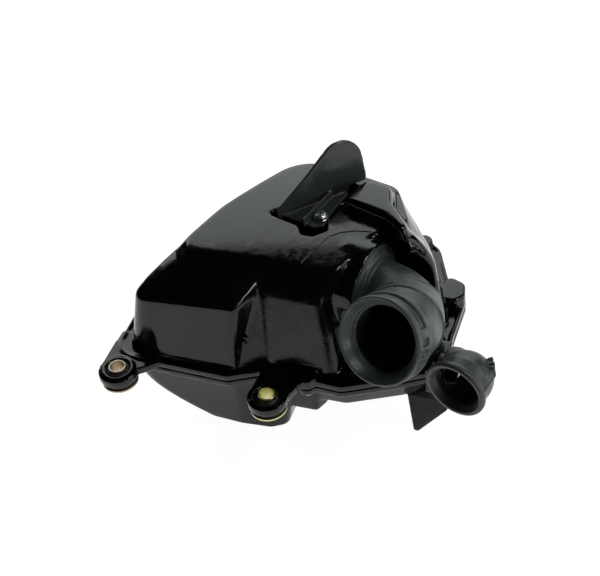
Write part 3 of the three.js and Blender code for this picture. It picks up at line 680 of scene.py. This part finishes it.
ELBOW_PATH = bezier(
    PORT - PORT_AXIS - UP * 3, PORT + PORT_AXIS * 26 - UP * 4,
    MOUTH - MOUTH_AXIS * 30, MOUTH - MOUTH_AXIS * 8, 36,
)
ELBOW_RADII = [18.6 + 3.9 * min(1, i / 24) ** 1.5 for i in range(len(ELBOW_PATH))]


def ring_block(size, turn_angle, radius, along):
    """A block on the cuff, at an angle round the mouth's axis and facing outwards."""
    mesh = block(size, (radius, 0, along))
    mesh.transform(Matrix.Rotation(turn_angle, 4, "Z"))
    mesh.transform(Matrix.Translation(MOUTH) @ UP.rotation_difference(MOUTH_AXIS).to_matrix().to_4x4())
    return mesh


def make_boot():
    mouth = [
        (0, -16), (BOOT_RADIUS + 0.5, -16), (BOOT_RADIUS + 1.6, -14.5),
        (MOUTH_RADIUS, -13), (MOUTH_RADIUS, -10.5), (MOUTH_RADIUS - 1.6, -9.8),
        (MOUTH_RADIUS - 1.6, -4.6), (MOUTH_RADIUS, -4), (MOUTH_RADIUS, -0.8),
        (MOUTH_RADIUS - 0.8, 0), (0, 0),
    ]
    collar = [
        (0, -12), (PORT_RADIUS + 1.5, -12), (PORT_RADIUS + 1.5, -8.8), (PORT_RADIUS - GAP, -8.8),
        (PORT_RADIUS - GAP, -5.7), (24.6, -5.7), (24.6, -2.6), (23.6, -2),
        (21.2, -1.4), (20, 1), (0, 1),
    ]
    rib = [(0, -0.8), (0.6, -0.8), (1.3, -0.3), (1.3, 0.3), (0.6, 0.8), (0, 0.8)]
    rings = []
    for i in (15, 23):
        wider = [(r + ELBOW_RADII[i] if r else 0, z) for r, z in rib]
        rings.append(turned(wider, ELBOW_PATH[i], (ELBOW_PATH[i + 1] - ELBOW_PATH[i - 1]).normalized()))
    thick = swept(ELBOW_PATH[15:24], [r + 0.7 for r in ELBOW_RADII[15:24]])
    patch = within(thick, block((60, 120, 120), ELBOW_PATH[19] + Vector((24, 8, 0)), 0.34))
    facing = UP.rotation_difference(MOUTH_AXIS).inverted() @ Vector((0.97, -0.19, 0.1))
    right = math.atan2(facing.y, facing.x)
    stops = [ring_block((3.4, 5, 5.4), right + shift, MOUTH_RADIUS - 1.5, -7.2) for shift in (0.34, -0.3)]
    stops.append(ring_block((3.6, 1.8, 9), right + 0.02, MOUTH_RADIUS - 1.2, -6))
    nub = ring_block((2.4, 3.2, 2.6), right + 2.75, MOUTH_RADIUS, -2)
    outer = union(
        swept(ELBOW_PATH, ELBOW_RADII), turned(mouth, MOUTH, MOUTH_AXIS), turned(collar, PORT, PORT_AXIS),
        *rings, patch, *stops, nub)
    funnel = [(0, -5), (20.3, -5), (20.6, -4.2), (23.4, 0), (23.6, 3), (0, 3)]
    hollow = cut(
        outer,
        swept(ELBOW_PATH, [r - 3 for r in ELBOW_RADII]),
        rod(BOOT_BORE, MOUTH, MOUTH_AXIS, -12.5, 3),
        turned(funnel, MOUTH, MOUTH_AXIS),
        rod(15.6, PORT - UP * 3, PORT_AXIS, -14, 0),
    )
    ridge = [(18.4, -8.6), (20.6, -8.6), (20.6, -7), (18.4, -7), (18.4, -8.6)]
    return softened(union(hollow, turned(ridge, MOUTH, MOUTH_AXIS)), 0.5, 3)


def make_snorkel():
    lip = [(0, -5), (16, -5), (18, -3.6), (18, -1), (17.2, 0), (0, 0)]
    to_bend = (SNORKEL_MOUTH - SNORKEL_BEND).length
    port_run = (SNORKEL_BEND - SNORKEL_PORT).normalized()
    arc = [math.pi * (i / 24 - 0.5) for i in range(25)]
    ball = [(15.5 * math.cos(a), 15.5 * math.sin(a)) for a in arc]
    hole = [(13 * math.cos(a), 13 * math.sin(a)) for a in arc]
    outer = union(
        turned(lip, SNORKEL_MOUTH, SNORKEL_AXIS),
        rod(15.5, SNORKEL_MOUTH, SNORKEL_AXIS, -to_bend, -2),
        turned(ball, SNORKEL_BEND, UP),
        rod(14, SNORKEL_PORT, port_run, 4, (SNORKEL_BEND - SNORKEL_PORT).length),
    )
    wall = span(40, SNORKEL_WALL_X + GAP, SNORKEL_WALL_Y - GAP, 70, -40, 60)
    outer = cut(outer, wall, rod(30, SNORKEL_MOUTH, SNORKEL_AXIS, 0, 12))
    outer = union(outer, rod(SNORKEL_NECK, SNORKEL_PORT, OUT, -4.5, 6))
    start = SNORKEL_MOUTH + Vector((15.1, -4.6, 3)) - SNORKEL_AXIS * 4
    spine = [start + (SNORKEL_BEND + Vector((15.2, 3, 3)) - start) * (i / 6) for i in range(7)]
    for a in (0.35, 0.6, 0.85, 1.1):
        spine.append(SNORKEL_BEND + Vector((15.4 * math.cos(a), 15.4 * math.sin(a), 3)))
    tabs = [block((3, 2, 4.5), SNORKEL_BEND + Vector((14.6 * math.cos(a), 14.6 * math.sin(a), 8)), a)
            for a in (0.15, 0.38, 0.62)]
    outer = union(outer, swept(spine, [1.1] * len(spine), 16), *tabs)
    hollow = cut(
        outer,
        rod(13, SNORKEL_MOUTH, SNORKEL_AXIS, -to_bend, 3),
        turned([(0, -4), (13, -4), (15.2, -0.6), (15.6, 3), (0, 3)], SNORKEL_MOUTH, SNORKEL_AXIS),
        turned(hole, SNORKEL_BEND, UP),
        rod(SNORKEL_NECK - 2, SNORKEL_PORT, OUT, -8, 5),
        rod(SNORKEL_NECK - 2, SNORKEL_PORT, port_run, 0, 12),
    )
    return softened(hollow, 0.5, 9)


dress("carburettor_boot", make_boot(), BOOT_RUBBER, "housing_body")
dress("snorkel", make_snorkel(), SNORKEL_RUBBER, "housing_body")

# ---------------------------------------------------------------- fins


def sheet_of(outline, thick):
    """A flat solid from an outline in X and Z, with its thickness along Y from 0."""
    count = len(outline)
    points = [Vector((x, y, z)) for y in (0, -thick) for x, z in outline]
    faces = [(i, (i + 1) % count, (i + 1) % count + count, i + count) for i in range(count)]
    caps = tessellate_polygon([points[:count]])
    faces += list(caps) + [tuple(reversed([count + i for i in face])) for face in caps]
    return mesh_of(points, faces)


def arc_points(x, z, radius, start, end, steps=24):
    angles = [start + (end - start) * i / steps for i in range(steps + 1)]
    return [(x + radius * math.cos(a), z + radius * math.sin(a)) for a in angles]


def make_guard():
    lower = GUARD_FOOT_Z - GUARD_START.z
    top_x = GUARD_LENGTH - 14.5
    outline = [
        (0, lower), (46, lower), (46, -0.6), (GUARD_LENGTH - 1, -0.6), (GUARD_LENGTH, 2),
        *arc_points(top_x, GUARD_HEIGHT - 13.5, 13.5, 0, math.pi * 0.72), (0, 1),
    ]
    fin = softened(sheet_of(outline, FIN_THICK), 0.6, 2)
    for vertex in fin.vertices:
        vertex.co.y += GUARD_CURL * max(vertex.co.z, 0) ** 2
    fin.transform(Matrix.Translation(GUARD_START) @ Matrix.Rotation(math.pi / 4, 4, "Z"))
    foot = plate(
        [(-15, 86, 1), (0, 82, 2), (5, 80, 3), (12, 82, 3), (12, 92, 3), (16.5, 114, 1), (12, 113.5, 1)],
        GUARD_FOOT_Z, GUARD_FOOT_Z + FIN_THICK)
    height = CREST_Z + 2.6 - GUARD_FOOT_Z
    rib = block((38, 1.1, height), (5.2, 98.6, GUARD_FOOT_Z + height / 2), 1.3)
    hole = post(2.2, GUARD_SCREW.x, GUARD_SCREW.y, 50, 70)
    return softened(cut(union(fin, foot, rib), hole), 0.45, 4)


def make_deflector():
    top = SIDE_FLOOR_Z - GAP
    drop = (COVER_FLOOR_Z - top) / math.cos(DEFLECTOR_LEAN)
    outline = [
        (-4, 0), (1, drop + 2.2), *arc_points(3.2, drop + 2.2, 2.2, math.pi, math.pi * 1.75, 8),
        (20, -6), (20, 0),
    ]
    fin = sheet_of(outline, FIN_THICK)
    fin.transform(Matrix.Translation((71, 45, top - 0.7)) @ Matrix.Rotation(DEFLECTOR_LEAN, 4, "X"))
    foot = block((20, 11, FIN_THICK), (77, 49, top - FIN_THICK / 2))
    holes = [post(1.9, x, y, -60, 0, 24) for x, y in DEFLECTOR_SCREWS]
    return softened(cut(union(fin, foot), span(40, 120, 0, 80, -70, COVER_FLOOR_Z), *holes), 0.45, 3)


dress("splash_guard", make_guard(), GUARD_PLASTIC, "housing_body")
dress("lower_deflector", make_deflector(), GUARD_PLASTIC, "cover_body")

# ---------------------------------------------------------------- filter, bushes and screws


def make_foam():
    mesh = softened(loft((-3.2, FOAM), (12, inset(FOAM, 4))), 1.2, 12)
    for vertex in mesh.vertices:
        vertex.co += vertex.normal * (noise.noise(vertex.co * 0.25) * 0.5 - 0.4)
    return mesh


dress("filter_foam", make_foam(), FOAM_FINISH, "cover_body")


def cross_slotted(head, centre, length, turn_angle):
    """The screw head with a cross recess."""
    slots = [block((1.1, length, 2.6), centre, turn_angle + quarter) for quarter in (0, math.pi / 2)]
    return cut(head, *slots)


def bush(side, x, zinc):
    """Grommet, sleeve and washer of a lug."""
    bore, neck, seat = 5.3, 6.7, -LUG_THICK
    grommet = [
        (bore, seat - 3), (9.0, seat - 3), (9.4, seat - 2.6), (9.4, seat - GAP), (neck, seat - GAP),
        (neck, -0.4), (neck - 0.4, 0.1), (bore + 0.3, 0.3), (bore, 0), (bore, seat - 3),
    ]
    sleeve = [
        (4.1, seat - 5), (5, seat - 5), (5, 2), (4.8, SLEEVE_TOP), (4.3, SLEEVE_TOP), (4.1, 2.1),
        (4.1, seat - 5),
    ]
    top = seat - 3 - GAP
    washer = [
        (bore, top - 1.4), (10.1, top - 1.4), (10.5, top - 1), (10.5, top), (bore, top), (bore, top - 1.4),
    ]
    place = Vector((x, 0, 0))
    dress(f"grommet_{side}", turned(grommet, place, UP), GROMMET_RUBBER, "housing_body", 40)
    dress(f"bush_sleeve_{side}", turned(sleeve, place, UP), zinc, "housing_body", 30)
    dress(f"bush_washer_{side}", turned(washer, place, UP), zinc, "housing_body", 30)


bush("right", 0, YELLOW_ZINC)
bush("left", -LUG_SPACING, TAN_ZINC)

guard_seat = GUARD_SCREW + UP * WASHER_THICK
dome = [
    (0, -9.6), (1.3, -8), (1.3, GAP), (3.6, GAP), (3.8, 0.5), (3.8, 1.2),
    (3.5, 1.8), (2.9, 2.3), (1.4, 2.75), (0, 2.8),
]
guard_head = cross_slotted(turned(dome, guard_seat, UP, 48), guard_seat + UP * 2.7, 4.2, 0.3)
dress("guard_screw", guard_head, BRIGHT_STEEL, "housing_body", 35)
ring = [(2.2, 0), (4, 0), (4.2, 0.2), (4.2, 0.65), (4, WASHER_THICK), (2.2, WASHER_THICK), (2.2, 0)]
dress("guard_washer", turned(ring, GUARD_SCREW, UP, 64), BRIGHT_STEEL, "housing_body", 35)

for number, (x, y) in enumerate(COVER_SCREWS, 1):
    seat = Vector((x, y, RIM_LOW))
    profile = [(0, -3), (2.6, -3), (3.5, -2.5), (3.7, -2), (3.7, -GAP), (1.9, -GAP), (1.9, 8.6), (0, 9.6)]
    head = cross_slotted(turned(profile, seat, UP, 40), seat - UP * 3, 4.2, 0.2 * number)
    dress(f"cover_screw_{number}", head, PLAIN_STEEL, f"screw_body_{number}", 35)
for number, (x, y) in enumerate(DEFLECTOR_SCREWS, 1):
    seat = Vector((x, y, SIDE_FLOOR_Z - GAP - FIN_THICK))
    profile = [(0, -3), (2.4, -3), (3.2, -2.5), (3.4, -2), (3.4, -GAP), (1.5, -GAP), (1.5, 1.6), (0, 1.6)]
    head = cross_slotted(turned(profile, seat, UP, 40), seat - UP * 3, 3.6, 0.5 * number)
    dress(f"deflector_screw_{number}", head, PLAIN_STEEL, "cover_body", 35)

KEPT_NODES = {"cover_gasket": SEAL_RUBBER, "filter_grid": GRID_PLASTIC, "boot_ring": PLAIN_STEEL}
for node, material in KEPT_NODES.items():
    for material_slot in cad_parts[node].material_slots:
        material_slot.material = material

# ---------------------------------------------------------------- camera, floor and lights

AZIMUTH, ELEVATION, ROLL = math.radians(24.5), math.radians(42), math.radians(-8)
CAMERA_OFFSET = Vector((0.2566, -0.4991, 0.5813))

camera = bpy.data.objects.new("camera", bpy.data.cameras.new("camera"))
camera.data.lens = 87
camera.data.sensor_width = 36
turn = Matrix.Rotation(AZIMUTH, 4, "Z") @ Matrix.Rotation(math.pi / 2 - ELEVATION, 4, "X")
camera.matrix_world = Matrix.Translation(ORIGIN + CAMERA_OFFSET) @ turn @ Matrix.Rotation(ROLL, 4, "Z")
bpy.context.scene.collection.objects.link(camera)
bpy.context.scene.camera = camera

floor_mesh = bpy.data.meshes.new("floor")
floor_mesh.from_pydata([(-2.2, -1.4, 0), (2.2, -1.4, 0), (2.2, 3.0, 0), (-2.2, 3.0, 0)], [], [(0, 1, 2, 3)])
floor = bpy.data.objects.new("floor", floor_mesh)
bpy.context.scene.collection.objects.link(floor)
FLOOR = Finish("white_floor", Base_Color=(0.3, 0.3, 0.3, 1), Roughness=0.9, Emission_Color=(1, 1, 1, 1))
FLOOR.shader.inputs["Emission Strength"].default_value = 0.95
floor_mesh.materials.append(FLOOR.material)


STUDIO_TINT = (0.93, 1.0, 0.96)


def softbox(name, place, aim, width, height, watts):
    data = bpy.data.lights.new(name, "AREA")
    data.shape, data.size, data.size_y, data.energy = "RECTANGLE", width, height, watts
    data.color = STUDIO_TINT
    light = bpy.data.objects.new(name, data)
    light.location = place
    light.rotation_euler = (Vector(place) - Vector(aim)).to_track_quat("Z", "Y").to_euler()
    bpy.context.scene.collection.objects.link(light)


softbox("backdrop", (-0.6, 1.6, 1.05), (0, 0, 0.05), 3.0, 1.3, 29)
softbox("overhead", (0.75, 0.1, 1.3), (0, 0, 0.05), 0.35, 0.35, 5)
softbox("right_fill", (1.7, 0.5, 0.75), (0, 0, 0.05), 1.4, 1.1, 10)
softbox("right_glint", (1.2, -0.45, 0.5), (0, 0, 0.05), 0.22, 0.3, 2.5)

world = bpy.data.worlds.new("studio")
world.use_nodes = True
world.node_tree.nodes["Background"].inputs["Color"].default_value = (0.004, 0.004, 0.004, 1)
bpy.context.scene.world = world
bpy.context.scene.view_settings.view_transform = "Standard"
